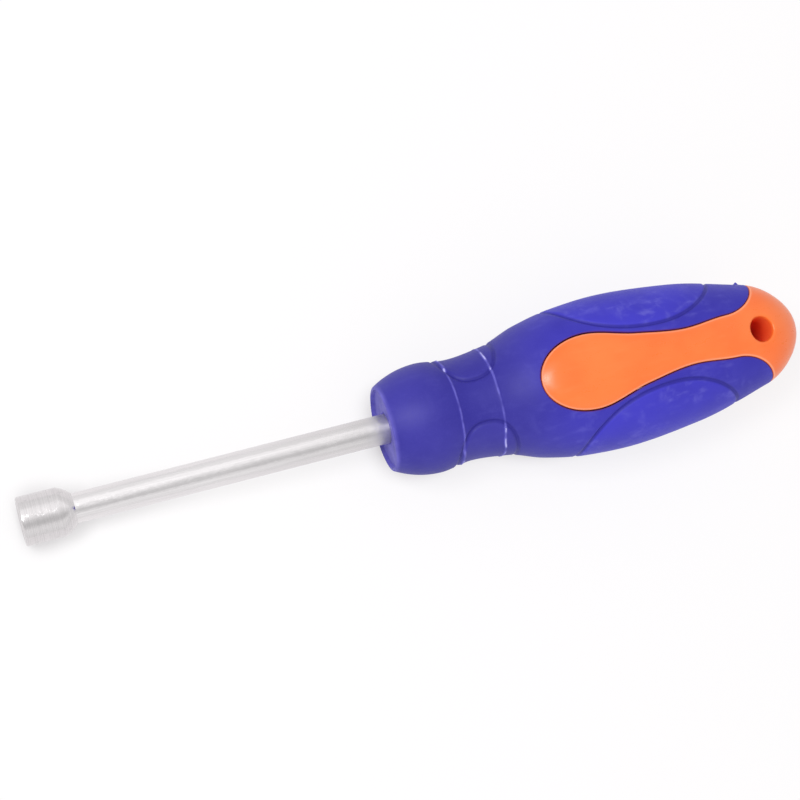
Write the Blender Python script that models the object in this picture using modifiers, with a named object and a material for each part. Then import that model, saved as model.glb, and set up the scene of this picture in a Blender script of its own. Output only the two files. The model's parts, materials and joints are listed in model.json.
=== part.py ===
"""Nut spinner: a hex socket on a round shank, held in a hard plastic core with a soft grip moulded over it.

The tool is modelled along X, with the front face of its handle at X = 0, the socket at negative X and the
orange panels facing +Z and -Z. An empty then lays it down as it rests on a table: on the rim of the socket
and the belly of the handle.
"""

import math

import bmesh
import bpy

FIT_GAP = 0.0003

# Socket
BLADE_LENGTH = 0.086
HEX_ACROSS_FLATS = 0.0081
HEX_DEPTH = 0.0082
SOCKET_WALL = 0.00102
SOCKET_LENGTH = 0.0123
SOCKET_TAPER = 0.0034
SOCKET_BACK_LIP = 0.0001
SOCKET_TAPER_POWER = 1.5
RIM_CHAMFER = 0.0005

# Shank
SHANK_RADIUS = 0.0035
SPIGOT_RADIUS = 0.0025
SHANK_CHAMFER = 0.0004
TANG_LENGTH = 0.056
WING_START = 0.036
WING_LENGTH = 0.012
WING_SPREAD = 0.0022
WING_THICKNESS = 0.0024

# Handle outline: each section's place from the front face or from the butt, and half its width there
HANDLE_LENGTH = 0.1048
FRONT_RADIUS = 0.0103
FRONT_ROUND = 0.0007
COLLAR_AT = 0.0105
COLLAR_RADIUS = 0.0131
NECK_AT = 0.018
NECK_RADIUS = 0.0121
THROAT_AT = 0.027
THROAT_HALF_WIDTH = 0.0131
SHOULDER_AT = 0.036
SHOULDER_HALF_WIDTH = 0.01605
CHEST_AT = 0.045
CHEST_HALF_WIDTH = 0.01775
BELLY_AT = 0.056
BELLY_HALF_WIDTH = 0.0184
BELLY_HALF_DEPTH = 0.01573
WAIST_FROM_BUTT = 0.0298
WAIST_HALF_WIDTH = 0.0168
HIP_FROM_BUTT = 0.0118
HIP_HALF_WIDTH = 0.0127
BUTT_HALF_WIDTH = 0.0092
BUTT_ROUND_LENGTH = 0.0108

# Handle shape: slopes of the outline at its two ends, and the powers of the superellipses that
# round the butt and the sections, of which 2 is an ellipse
FRONT_SLOPE = 0.55
BUTT_SLOPE = -0.3
BUTT_POWER = 2.1
BELLY_POWER = 2.25
ROUND_POWER = 2.0

# Orange window in the grip, the same on both faces
WINDOW_NOSE_AT = 0.0351
WINDOW_WIDEST_AT = 0.0475
WINDOW_HALF_WIDTH = 0.0091
WINDOW_TAPER_HALF_WIDTH = 0.0062
WINDOW_WAIST_FROM_BUTT = 0.0318
WINDOW_WAIST_HALF_WIDTH = 0.0045
WINDOW_FLARE_FROM_BUTT = 0.0208
WINDOW_FLARE_HALF_WIDTH = 0.0053
WINDOW_FLARE_HEIGHT = 0.010
PRONG_TIP_FROM_BUTT = 0.0095

# Grip and core
GRIP_WALL = 0.003
GRIP_FRONT_WALL = 0.004
CORE_PAST_PRONGS = 0.0032
HANG_HOLE_FROM_BUTT = 0.0125
HANG_HOLE_RADIUS = 0.003
HANG_HOLE_LIP = 0.0008

# Finger pads on the two sides of the grip, outlined by a groove
GROOVE_RADIUS = 0.0005
NECK_PAD_AT = 0.0214
NECK_PAD_HALF_LENGTH = 0.0072
NECK_PAD_HALF_ANGLE = math.radians(65)
NECK_PAD_POWER = 2.6
SIDE_PAD_START = 0.043
SIDE_PAD_WIDEST_FROM_BUTT = 0.0398
SIDE_PAD_END_FROM_BUTT = 0.0202
SIDE_PAD_HALF_ANGLE = math.radians(68.5)
SIDE_PAD_POWER = 2.25

# Mesh steps, and how close points merge and edges turn sharp
ROUND_STEPS = 40
SECTION_STEPS = 48
HANDLE_STEPS = 38
CORE_STEPS = 16
CORNER_STEPS = 8
GROOVE_STEPS = 48
MERGE_RANGE = 0.000001
SHARP_ANGLE = math.radians(35)

# Sizes that follow from the ones above
SOCKET_RADIUS = HEX_ACROSS_FLATS / math.sqrt(3) + SOCKET_WALL
SOCKET_BACK_RADIUS = SHANK_RADIUS + SOCKET_BACK_LIP
MOUTH_AT = -BLADE_LENGTH
SOCKET_BACK_AT = MOUTH_AT + SOCKET_LENGTH
SHOULDER_GAP_AT = SOCKET_BACK_AT + FIT_GAP
BORE_RADIUS = SHANK_RADIUS + FIT_GAP
CUTTER_DEPTH = 2 * BELLY_HALF_WIDTH
DEPTH_RATIO = BELLY_HALF_DEPTH / BELLY_HALF_WIDTH
WAIST_AT = HANDLE_LENGTH - WAIST_FROM_BUTT
HIP_AT = HANDLE_LENGTH - HIP_FROM_BUTT
WINDOW_WAIST_AT = HANDLE_LENGTH - WINDOW_WAIST_FROM_BUTT
WINDOW_TAPER_AT = (WINDOW_WIDEST_AT + WINDOW_WAIST_AT) / 2
WINDOW_FLARE_AT = HANDLE_LENGTH - WINDOW_FLARE_FROM_BUTT
PRONG_TIP_AT = HANDLE_LENGTH - PRONG_TIP_FROM_BUTT
CORE_BODY_END = PRONG_TIP_AT + CORE_PAST_PRONGS
HANG_HOLE_AT = HANDLE_LENGTH - HANG_HOLE_FROM_BUTT
SIDE_PAD_WIDEST_AT = HANDLE_LENGTH - SIDE_PAD_WIDEST_FROM_BUTT
SIDE_PAD_FRONT_LENGTH = SIDE_PAD_WIDEST_AT - SIDE_PAD_START
SIDE_PAD_REAR_LENGTH = SIDE_PAD_WIDEST_FROM_BUTT - SIDE_PAD_END_FROM_BUTT


def smooth(stations, x, first_slope=0.0, last_slope=0.0):
    """Value at x of a curve through (x, value) stations that never swings past them."""
    pairs = list(zip(stations, stations[1:]))
    rises = [(b[1] - a[1]) / (b[0] - a[0]) for a, b in pairs]
    slopes = [first_slope]
    for before, after in zip(rises, rises[1:]):
        turns = before * after <= 0
        slopes.append(0.0 if turns else 2 * before * after / (before + after))
    slopes.append(last_slope)
    last = len(pairs) - 1
    i = next((k for k, (a, b) in enumerate(pairs) if x <= b[0]), last)
    (x0, y0), (x1, y1) = pairs[i]
    step = x1 - x0
    t = min(max((x - x0) / step, 0.0), 1.0)
    start = (1 + 2 * t) * (1 - t) ** 2 * y0 + t * (1 - t) ** 2 * step * slopes[i]
    end = t * t * (3 - 2 * t) * y1 - t * t * (1 - t) * step * slopes[i + 1]
    return start + end


def signed_power(value, power):
    return math.copysign(abs(value) ** power, value)


def half_width(x):
    """Half the handle's width, from the collar's rounded rim to the domed butt."""
    stations = [
        (0.0, FRONT_RADIUS),
        (COLLAR_AT, COLLAR_RADIUS),
        (NECK_AT, NECK_RADIUS),
        (THROAT_AT, THROAT_HALF_WIDTH),
        (SHOULDER_AT, SHOULDER_HALF_WIDTH),
        (CHEST_AT, CHEST_HALF_WIDTH),
        (BELLY_AT, BELLY_HALF_WIDTH),
        (WAIST_AT, WAIST_HALF_WIDTH),
        (HIP_AT, HIP_HALF_WIDTH),
        (HANDLE_LENGTH, BUTT_HALF_WIDTH),
    ]
    width = smooth(stations, x, FRONT_SLOPE, BUTT_SLOPE)
    if x < FRONT_ROUND:
        width -= FRONT_ROUND - math.sqrt(FRONT_ROUND**2 - (FRONT_ROUND - x) ** 2)
    into_butt = (x - HANDLE_LENGTH + BUTT_ROUND_LENGTH) / BUTT_ROUND_LENGTH
    if into_butt > 0:
        width *= max(0.0, 1 - into_butt**BUTT_POWER) ** (1 / BUTT_POWER)
    return width


def depth_ratio(x):
    """Depth over width: round to the neck, flatter from the belly back."""
    return smooth([(NECK_AT, 1.0), (BELLY_AT, DEPTH_RATIO), (HANDLE_LENGTH, DEPTH_RATIO)], x)


def section_power(x):
    """Power of the section's superellipse, which is fullest at the belly."""
    return smooth([(NECK_AT, ROUND_POWER), (BELLY_AT, BELLY_POWER), (HANDLE_LENGTH, ROUND_POWER)], x)


def handle_point(x, angle, inset=0.0):
    """Point on the handle at x, angle being measured from the +Z face towards +Y."""
    across = half_width(x)
    power = 2 / section_power(x)
    y = (across - inset) * signed_power(math.sin(angle), power)
    z = (across * depth_ratio(x) - inset) * signed_power(math.cos(angle), power)
    return (x, y, z)


def ring_places(count, start, end):
    """Places from start to end that crowd together towards both ends."""
    places = []
    for k in range(count + 1):
        share = (1 - math.cos(math.pi * k / count)) / 2
        places.append(start + (end - start) * share)
    return places


def material(name, colour, roughness, metallic=0.0):
    made = bpy.data.materials.new(name)
    made.use_nodes = True
    shader = made.node_tree.nodes["Principled BSDF"]
    shader.inputs["Base Color"].default_value = (*colour, 1.0)
    shader.inputs["Roughness"].default_value = roughness
    shader.inputs["Metallic"].default_value = metallic
    return made


def add_object(name, mesh, collection, parent):
    made = bpy.data.objects.new(name, mesh)
    collection.objects.link(made)
    made.parent = parent
    return made


def mesh_from(bm, name):
    bmesh.ops.recalc_face_normals(bm, faces=bm.faces)
    mesh = bpy.data.meshes.new(name)
    bm.to_mesh(mesh)
    bm.free()
    mesh.shade_smooth()
    mesh.set_sharp_from_angle(angle=SHARP_ANGLE)
    return mesh


def loft(name, places, inset=0.0):
    """Closed skin through handle sections: flat at the front, and flat or drawn to a point at the back."""
    bm = bmesh.new()
    angles = [2 * math.pi * k / SECTION_STEPS for k in range(SECTION_STEPS)]
    pointed = half_width(places[-1]) - inset < FIT_GAP
    ringed = places[:-1] if pointed else places
    rings = [[bm.verts.new(handle_point(x, a, inset)) for a in angles] for x in ringed]
    for ring, following in zip(rings, rings[1:]):
        for k in range(SECTION_STEPS):
            n = (k + 1) % SECTION_STEPS
            bm.faces.new((ring[k], ring[n], following[n], following[k]))
    bm.faces.new(rings[0])
    if pointed:
        tip = bm.verts.new((places[-1], 0.0, 0.0))
        for k in range(SECTION_STEPS):
            bm.faces.new((rings[-1][k], rings[-1][(k + 1) % SECTION_STEPS], tip))
    else:
        bm.faces.new(rings[-1])
    return mesh_from(bm, name)


def turned(name, profile, collection, parent, closed=False):
    """Object turned round the tool's axis from (radius, x) points, listed from high x to low x."""
    mesh = bpy.data.meshes.new(name)
    points = [(radius, 0.0, x) for radius, x in profile]
    edges = [(k, k + 1) for k in range(len(points) - 1)]
    if closed:
        edges.append((len(points) - 1, 0))
    mesh.from_pydata(points, edges, [])
    made = add_object(name, mesh, collection, parent)
    made.rotation_euler.y = math.pi / 2
    screw = made.modifiers.new("turn", "SCREW")
    screw.axis = "Z"
    screw.steps = ROUND_STEPS
    screw.render_steps = ROUND_STEPS
    screw.use_merge_vertices = True
    screw.merge_threshold = MERGE_RANGE
    return made


def box(name, low, high, collection, parent):
    bm = bmesh.new()
    bmesh.ops.create_cube(bm, size=1.0)
    for vert in bm.verts:
        vert.co = [a + (c + 0.5) * (b - a) for a, b, c in zip(low, high, vert.co)]
    return add_object(name, mesh_from(bm, name), collection, parent)


def curve_mesh(curve_object):
    """Replace a curve object by a closed mesh object in the same place."""
    bpy.context.view_layer.update()
    evaluated = curve_object.evaluated_get(bpy.context.evaluated_depsgraph_get())
    bm = bmesh.new()
    bm.from_mesh(bpy.data.meshes.new_from_object(evaluated))
    bmesh.ops.remove_doubles(bm, verts=bm.verts, dist=MERGE_RANGE)
    name = curve_object.name
    made = add_object(name, mesh_from(bm, name), curve_object.users_collection[0], curve_object.parent)
    bpy.data.objects.remove(curve_object)
    made.name = name
    return made


def curve_from(name, points, collection, parent):
    """Closed curve object through the points."""
    curve = bpy.data.curves.new(name, "CURVE")
    spline = curve.splines.new("POLY")
    spline.points.add(len(points) - 1)
    for point, place in zip(spline.points, points):
        point.co = (*place, 1.0)
    spline.use_cyclic_u = True
    return add_object(name, curve, collection, parent)


def boolean(target, operand, operation="DIFFERENCE"):
    step = target.modifiers.new(operand.name, "BOOLEAN")
    step.operation = operation
    step.object = operand


def window_half_outline():
    """One side of the window, seen from above, from its nose to where it leaves the handle."""
    quarter = [math.pi / 2 * k / CORNER_STEPS for k in range(CORNER_STEPS + 1)]
    nose_length = WINDOW_WIDEST_AT - WINDOW_NOSE_AT
    nose = []
    for a in quarter:
        nose.append((WINDOW_WIDEST_AT - nose_length * math.cos(a), WINDOW_HALF_WIDTH * math.sin(a)))
    stations = [
        (WINDOW_WIDEST_AT, WINDOW_HALF_WIDTH),
        (WINDOW_TAPER_AT, WINDOW_TAPER_HALF_WIDTH),
        (WINDOW_WAIST_AT, WINDOW_WAIST_HALF_WIDTH),
        (WINDOW_FLARE_AT, WINDOW_FLARE_HALF_WIDTH),
    ]
    side = []
    side_steps = 2 * CORNER_STEPS
    for k in range(1, side_steps):
        x = WINDOW_WIDEST_AT + (WINDOW_FLARE_AT - WINDOW_WIDEST_AT) * k / side_steps
        side.append((x, smooth(stations, x)))
    flare_length = PRONG_TIP_AT - WINDOW_FLARE_AT
    flare = []
    for a in quarter:
        out = WINDOW_FLARE_HEIGHT * (1 - math.cos(a))
        flare.append((WINDOW_FLARE_AT + flare_length * math.sin(a), WINDOW_FLARE_HALF_WIDTH + out))
    return nose + side + flare


def window_cutter(name, spread, collection, parent):
    """Prism through both windows and round the whole butt, spread being added all round it."""
    half = window_half_outline()
    outer = half[-1][1] + BELLY_HALF_WIDTH
    beyond = HANDLE_LENGTH + BELLY_HALF_WIDTH
    side = half + [(half[-1][0], outer), (beyond, outer)]
    outline = side + [(x, -y) for x, y in reversed(side[1:])]
    moved = []
    for k, (x, y) in enumerate(outline):
        before = outline[k - 1]
        after = outline[(k + 1) % len(outline)]
        along = (after[0] - before[0], after[1] - before[1])
        length = math.hypot(*along)
        moved.append((x - spread * along[1] / length, y + spread * along[0] / length, 0.0))
    made = curve_from(name, moved, collection, parent)
    made.data.dimensions = "2D"
    made.data.fill_mode = "BOTH"
    made.data.extrude = CUTTER_DEPTH
    return curve_mesh(made)


def pad_groove(name, side, middle, front_length, rear_length, half_angle, power, collection, parent):
    """Tube along the egg-shaped outline of a finger pad on one side of the grip."""
    points = []
    for k in range(GROOVE_STEPS):
        turn = 2 * math.pi * k / GROOVE_STEPS
        along = signed_power(math.cos(turn), 2 / power)
        x = middle + along * (rear_length if along > 0 else front_length)
        angle = math.pi / 2 + half_angle * signed_power(math.sin(turn), 2 / power)
        points.append(handle_point(x, side * angle))
    made = curve_from(name, points, collection, parent)
    made.data.dimensions = "3D"
    made.data.bevel_depth = GROOVE_RADIUS
    made.data.bevel_resolution = 1
    return curve_mesh(made)


def make_socket(parts, cutters, tool):
    taper_start = SOCKET_BACK_AT - SOCKET_TAPER
    profile = [(SPIGOT_RADIUS + FIT_GAP, SOCKET_BACK_AT)]
    for k in range(CORNER_STEPS + 1):
        share = 1 - k / CORNER_STEPS
        fall = (SOCKET_RADIUS - SOCKET_BACK_RADIUS) * share**SOCKET_TAPER_POWER
        profile.append((SOCKET_RADIUS - fall, taper_start + SOCKET_TAPER * share))
    profile.append((SOCKET_RADIUS, MOUTH_AT + RIM_CHAMFER))
    profile.append((SOCKET_RADIUS - RIM_CHAMFER, MOUTH_AT))
    profile.append((SPIGOT_RADIUS + FIT_GAP, MOUTH_AT))
    socket = turned("socket_head", profile, parts, tool, closed=True)
    bm = bmesh.new()
    across_corners = HEX_ACROSS_FLATS / math.sqrt(3)
    bmesh.ops.create_cone(
        bm, cap_ends=True, segments=6, radius1=across_corners, radius2=across_corners, depth=2 * HEX_DEPTH
    )
    recess = add_object("hex_recess", mesh_from(bm, "hex_recess"), cutters, tool)
    recess.location.x = MOUTH_AT
    recess.rotation_euler.y = math.pi / 2
    boolean(socket, recess)
    return socket


def make_shank(parts, cutters, tool):
    spigot_end = MOUTH_AT + HEX_DEPTH
    profile = [
        (0.0, TANG_LENGTH),
        (SHANK_RADIUS - SHANK_CHAMFER, TANG_LENGTH),
        (SHANK_RADIUS, TANG_LENGTH - SHANK_CHAMFER),
        (SHANK_RADIUS, SHOULDER_GAP_AT + SHANK_CHAMFER),
        (SHANK_RADIUS - SHANK_CHAMFER, SHOULDER_GAP_AT),
        (SPIGOT_RADIUS, SHOULDER_GAP_AT),
        (SPIGOT_RADIUS, spigot_end + SHANK_CHAMFER),
        (SPIGOT_RADIUS - SHANK_CHAMFER, spigot_end),
        (0.0, spigot_end),
    ]
    shank = turned("shank", profile, parts, tool)
    wings = wing_box("tang_wings", 0.0, cutters, tool)
    boolean(shank, wings, "UNION")
    return shank


def wing_box(name, spread, collection, parent):
    """The flattened wings of the tang, spread being added all round them."""
    reach = SHANK_RADIUS + WING_SPREAD + spread
    thick = WING_THICKNESS / 2 + spread
    low = (WING_START - spread, -reach, -thick)
    high = (WING_START + WING_LENGTH + spread, reach, thick)
    return box(name, low, high, collection, parent)


def make_shank_bore(cutters, tool):
    """Hole for the shank through the grip's front wall and into the core."""
    start = -COLLAR_RADIUS
    end = TANG_LENGTH + FIT_GAP
    profile = [(0.0, end), (BORE_RADIUS, end), (BORE_RADIUS, start), (0.0, start)]
    return turned("shank_bore", profile, cutters, tool)


def make_hang_hole(cutters, tool):
    """Hole through the butt, flared where it meets the two faces."""
    face = half_width(HANG_HOLE_AT) * depth_ratio(HANG_HOLE_AT)
    throat = face - HANG_HOLE_LIP
    flared = HANG_HOLE_RADIUS + HANG_HOLE_LIP
    top = [(0.0, face + flared), (flared + flared, face + flared), (HANG_HOLE_RADIUS, throat)]
    profile = top + [(radius, -height) for radius, height in reversed(top)]
    hole = turned("hang_hole", profile, cutters, tool)
    hole.rotation_euler.y = 0.0
    hole.location.x = HANG_HOLE_AT
    return hole


def make_core(skin, bore, parts, cutters, tool):
    core = add_object("handle_core", skin, parts, tool)
    boolean(core, window_cutter("window_body", -FIT_GAP / 2, cutters, tool), "INTERSECT")
    places = ring_places(CORE_STEPS, GRIP_FRONT_WALL, CORE_BODY_END)
    body = add_object("core_body", loft("core_body", places, GRIP_WALL), cutters, tool)
    boolean(core, body, "UNION")
    boolean(core, bore)
    boolean(core, wing_box("wing_slot", FIT_GAP, cutters, tool))
    boolean(core, make_hang_hole(cutters, tool))
    return core


def make_grip(skin, bore, parts, cutters, tool):
    grip = add_object("soft_grip", skin, parts, tool)
    places = ring_places(CORE_STEPS, GRIP_FRONT_WALL - FIT_GAP, CORE_BODY_END)
    room = loft("core_room", places, GRIP_WALL - FIT_GAP)
    boolean(grip, add_object("core_room", room, cutters, tool))
    boolean(grip, window_cutter("window_room", FIT_GAP / 2, cutters, tool))
    boolean(grip, bore)
    for side, label in ((1, "left"), (-1, "right")):
        neck_pad = pad_groove(
            "neck_pad_" + label, side, NECK_PAD_AT, NECK_PAD_HALF_LENGTH, NECK_PAD_HALF_LENGTH,
            NECK_PAD_HALF_ANGLE, NECK_PAD_POWER, cutters, tool
        )
        boolean(grip, neck_pad)
        side_pad = pad_groove(
            "side_pad_" + label, side, SIDE_PAD_WIDEST_AT, SIDE_PAD_FRONT_LENGTH, SIDE_PAD_REAR_LENGTH,
            SIDE_PAD_HALF_ANGLE, SIDE_PAD_POWER, cutters, tool
        )
        boolean(grip, side_pad)
    return grip


def lay_down(tool, places):
    """Tip the tool until socket and belly touch the table, and centre it over the origin."""
    rim_at = MOUTH_AT + RIM_CHAMFER
    pitch = 0.0
    for x in places:
        drop = half_width(x) * depth_ratio(x) - SOCKET_RADIUS
        pitch = max(pitch, math.atan2(drop, x - rim_at))
    lift = SOCKET_RADIUS * math.cos(pitch) - rim_at * math.sin(pitch)
    middle = (HANDLE_LENGTH + MOUTH_AT) / 2
    tool.rotation_euler.y = -pitch
    tool.location = (-middle * math.cos(pitch), 0.0, lift)


def new_collection(name):
    made = bpy.data.collections.new(name)
    bpy.context.scene.collection.children.link(made)
    return made


def main():
    for old in list(bpy.data.objects):
        bpy.data.objects.remove(old)
    parts = new_collection("nut_spinner")
    cutters = new_collection("cutters")
    tool = bpy.data.objects.new("tool", None)
    parts.objects.link(tool)

    places = ring_places(HANDLE_STEPS, 0.0, HANDLE_LENGTH)
    skin = loft("handle_skin", places)
    bore = make_shank_bore(cutters, tool)
    socket = make_socket(parts, cutters, tool)
    socket.data.materials.append(material("socket_chrome", (0.62, 0.62, 0.63), 0.22, 1.0))
    shank = make_shank(parts, cutters, tool)
    shank.data.materials.append(material("shank_chrome", (0.66, 0.66, 0.67), 0.18, 1.0))
    core = make_core(skin, bore, parts, cutters, tool)
    core.data.materials.append(material("orange_plastic", (1.0, 0.22, 0.065), 0.35))
    grip = make_grip(skin.copy(), bore, parts, cutters, tool)
    grip.data.materials.append(material("blue_rubber", (0.065, 0.05, 0.46), 0.6))
    lay_down(tool, places)
    for cutter in cutters.objects:
        cutter.hide_render = True
        cutter.display_type = "WIRE"


main()
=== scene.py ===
"""Studio scene of the nut spinner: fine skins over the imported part, their materials, light and camera.

The tool is modelled along X, with the front of its handle at X = 0, its socket at negative X and its
orange panels facing +Z and -Z, and is then laid where the frame's collar face lies.
"""

import json
import math

import bpy
import numpy as np
from mathutils import Matrix, Vector, kdtree, noise
from mathutils.geometry import delaunay_2d_cdt


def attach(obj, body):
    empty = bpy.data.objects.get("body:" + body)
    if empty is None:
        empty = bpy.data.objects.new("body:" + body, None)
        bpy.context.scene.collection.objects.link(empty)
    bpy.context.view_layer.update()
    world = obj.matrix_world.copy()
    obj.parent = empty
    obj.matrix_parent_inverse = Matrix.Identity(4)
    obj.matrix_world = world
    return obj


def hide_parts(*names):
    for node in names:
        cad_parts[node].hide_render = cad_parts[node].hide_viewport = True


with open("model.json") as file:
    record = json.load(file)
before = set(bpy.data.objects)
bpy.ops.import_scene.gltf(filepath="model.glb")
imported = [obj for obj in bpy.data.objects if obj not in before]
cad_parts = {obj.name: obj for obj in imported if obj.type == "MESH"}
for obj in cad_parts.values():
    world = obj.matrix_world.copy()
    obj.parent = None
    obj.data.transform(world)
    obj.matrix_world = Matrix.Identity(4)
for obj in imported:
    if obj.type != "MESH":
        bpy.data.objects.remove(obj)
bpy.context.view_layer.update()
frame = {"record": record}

# Socket and shank
BLADE_LENGTH = 0.086
HEX_ACROSS_FLATS = 0.0081
HEX_DEPTH = 0.0082
HEX_CORNER_ROUND = 0.0004
HEX_MOUTH_EASE = 0.0003
DRILL_RADIUS = 0.0025
DRILL_TIP_RADIUS = 0.0004
DRILL_TIP_LENGTH = 0.0012
SOCKET_WALL = 0.00102
SOCKET_RADIUS = HEX_ACROSS_FLATS / math.sqrt(3) + SOCKET_WALL
SOCKET_LENGTH = 0.0123
SOCKET_TAPER = 0.0034
SOCKET_TAPER_POWER = 1.5
SOCKET_BACK_LIP = 0.0001
RIM_CHAMFER = 0.0005
SHANK_RADIUS = 0.0035
SHANK_CHAMFER = 0.0004
SHANK_SEAT = 0.0005
SHANK_SEAT_DEPTH = 1.2 * SHANK_SEAT
SHANK_HOLE_GAP = 0.00006
SHANK_END = 0.007
BORE_DEPTH = 0.008

# Where the shank's plating starts to dull and to darken with painted shade, and where both grow faster on its
# way to the collar
SHANK_DULLS_AND_SHADES_AT = -0.045
SHANK_DULL_AND_SHADED_AT = -0.014

# Handle outline: the places of its sections, and half the width at each
HANDLE_LENGTH = 0.1048
COLLAR_AT = 0.0105
NECK_AT = 0.018
THROAT_AT = 0.027
SHOULDER_AT = 0.036
CHEST_AT = 0.045
BELLY_AT = 0.056
BELLY_HALF_WIDTH = 0.0184
BELLY_HALF_DEPTH = 0.01573
OUTLINE = (
    (0.0, 0.0103),
    (COLLAR_AT, 0.0131),
    (NECK_AT, 0.0121),
    (THROAT_AT, 0.0131),
    (SHOULDER_AT, 0.01605),
    (CHEST_AT, 0.01775),
    (BELLY_AT, BELLY_HALF_WIDTH),
    (HANDLE_LENGTH - 0.0298, 0.0168),
    (HANDLE_LENGTH - 0.0118, 0.0127),
    (HANDLE_LENGTH, 0.0092),
)

# Handle ends and sections: roundings, slopes of the outline at its ends, and the powers of the
# superellipses that round the butt and the sections, of which 2 is an ellipse
FRONT_ROUND = 0.0007
BUTT_ROUND_LENGTH = 0.0108
FRONT_SLOPE = 0.55
BUTT_SLOPE = -0.3
BUTT_POWER = 2.1
BELLY_POWER = 2.25
ROUND_POWER = 2.0

# Orange window in the grip, the same on both faces
WINDOW_NOSE_AT = 0.0351
WINDOW_WIDEST_AT = 0.0475
WINDOW_HALF_WIDTH = 0.0091
WINDOW_WAIST_AT = HANDLE_LENGTH - 0.0318
WINDOW_FLARE_AT = HANDLE_LENGTH - 0.0208
WINDOW_FLARE_HALF_WIDTH = 0.0053
WINDOW_FLARE_HEIGHT = 0.010
WINDOW_OUTLINE = (
    (WINDOW_WIDEST_AT, WINDOW_HALF_WIDTH),
    ((WINDOW_WIDEST_AT + WINDOW_WAIST_AT) / 2, 0.0062),
    (WINDOW_WAIST_AT, 0.0045),
    (WINDOW_FLARE_AT, WINDOW_FLARE_HALF_WIDTH),
)
PRONG_TIP_AT = HANDLE_LENGTH - 0.0095

# Hanging hole. Its levels are 0 at the outer edge of its lip, 1 at the lip's foot and 2 at the
# middle of the handle, and its wall is painted from orange to red between two of them, for light that bounces
# and scatters inside the hole
HOLE_AT = HANDLE_LENGTH - 0.0125
HOLE_RADIUS = 0.003
HOLE_LIP = 0.0008
HOLE_LIP_DEPTH = 1.4 * HOLE_LIP
THROAT_REDDENS_AT = 0.8
THROAT_RED_AT = 1.75

# Finger pads on the two sides of the grip
NECK_PAD_AT = 0.0214
NECK_PAD_HALF_LENGTH = 0.0072
NECK_PAD_HALF_ANGLE = math.radians(65)
NECK_PAD_POWER = 2.6
SIDE_PAD_START = 0.043
SIDE_PAD_WIDEST_AT = HANDLE_LENGTH - 0.0398
SIDE_PAD_END = HANDLE_LENGTH - 0.0202
SIDE_PAD_HALF_ANGLE = math.radians(68.5)
SIDE_PAD_POWER = 2.25

# Each pad's middle, its lengths before and behind that, half the angle it spans, and its power
NECK_PAD = (NECK_PAD_AT, NECK_PAD_HALF_LENGTH, NECK_PAD_HALF_LENGTH, NECK_PAD_HALF_ANGLE, NECK_PAD_POWER)
SIDE_PAD = (
    SIDE_PAD_WIDEST_AT,
    SIDE_PAD_WIDEST_AT - SIDE_PAD_START,
    SIDE_PAD_END - SIDE_PAD_WIDEST_AT,
    SIDE_PAD_HALF_ANGLE,
    SIDE_PAD_POWER,
)

# Surface detail: grooves round the pads, lips along the seam, flash where mould parts met
GROOVE_HALF_WIDTH = 0.0008
GROOVE_DEPTH = 0.00038
PAD_PILLOW = 0.00008
PAD_PILLOW_REACH = 0.0018
LIP_ROUND = 0.00028
BORE_ROUND = 0.00012
PANEL_FALL = 0.00045
PANEL_FALL_REACH = 0.0038
NOSE_DIP = 0.0004
NOSE_DIP_REACH = 0.006
SEAM_GAP = 0.00008
FLASH_RING_PLACES = (0.0154, 0.0253)
FLASH_HALF_WIDTH = 0.0003
FLASH_HEIGHT = 0.00014
FLASH_DRIFT = 0.0003
SIDE_LINE_HEIGHT = 0.00004
RIM_BEAD_HALF_WIDTH = 0.00022
RIM_BEAD_HEIGHT = 0.00006
FRONT_SUNK = 0.0003
FRONT_LIP_HEIGHT = 0.00045
FRONT_LIP_WIDTH = 0.0004
FRONT_LIP_FADE = 0.0012
# How far past the rim the front face's painted light fades out
FRONT_PAINTED_LIGHT_FADE = 0.0012
SEAM_SHADE = 0.00024
# Where the painted highlight on the orange lip peaks, from the seam
LIP_SHINE_AT = 0.00042
NIB_PLACE = (PRONG_TIP_AT - 0.0023, 0.0127, 0.0008)
NIB_HALF_WIDTH = 0.00045
NIB_HEIGHT = 0.0007

# Uneven moulding: sizes of its patches, how far the skins swell, and how a random seed shifts them
WANDER_SIZE = 0.0035
SPECKLE_SIZE = 0.0016
DRIFT_SIZE = 0.005
GRIP_SWELL = 0.00002
GRIP_SWELL_SIZE = 0.006
CORE_SWELL = 0.000012
CORE_SWELL_SIZE = 0.008
SEED_SHIFT = (7.3, 3.1, 5.7)

# Mesh spacing: along the feature lines, between them, in rows beside them, and how far later points
# keep clear of earlier ones
LINE_STEP = 0.0004
FINE_LINE_STEP = LINE_STEP / 8
SKIN_STEP = 0.00085
RIM_STEP = 0.00013
ANGLE_SCALE = 0.014
SEAM_ROWS = (0.0, 0.00006, 0.00013, 0.00022, 0.00036, 0.0007)
GROOVE_ROWS = (0.0, 0.00018, 0.00036, 0.00056, 0.0008, 0.0012)
FLASH_ROWS = (0.0, 0.00014, 0.00028, 0.00044, 0.0007)
FRONT_LIP_ROWS = (-0.0003, -0.00018, -0.00009, 0.0, 0.00009, 0.00018)
NIB_ROWS = (-0.00075, -0.0005, -0.00025, 0.0, 0.00025, 0.0005, 0.00075)
HOLE_ROWS = (0.0003, 0.0007)
GROOVE_CLEAR = 0.00012
FLASH_CLEAR = 0.0001
ROW_CLEAR = 0.00002
SKIN_CLEAR = 0.55 * SKIN_STEP

# Mesh counts: samples of the outline and of each feature line, and steps of the turned pieces
FACE_SAMPLES = 40
SIDE_SAMPLES = 1600
WINDOW_SAMPLES = 1500
HOLE_SAMPLES = 300
PAD_SAMPLES = 3000
RING_SAMPLES = 400
HALVINGS = 60
LIP_STEPS = 6
WALL_STEPS = 4
SHANK_STEPS = 60
SHANK_TURN_STEPS = 120
SOCKET_STEPS = 12
SOCKET_RIM_STEPS = 6
SOCKET_TURN_STEPS = 144

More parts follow.
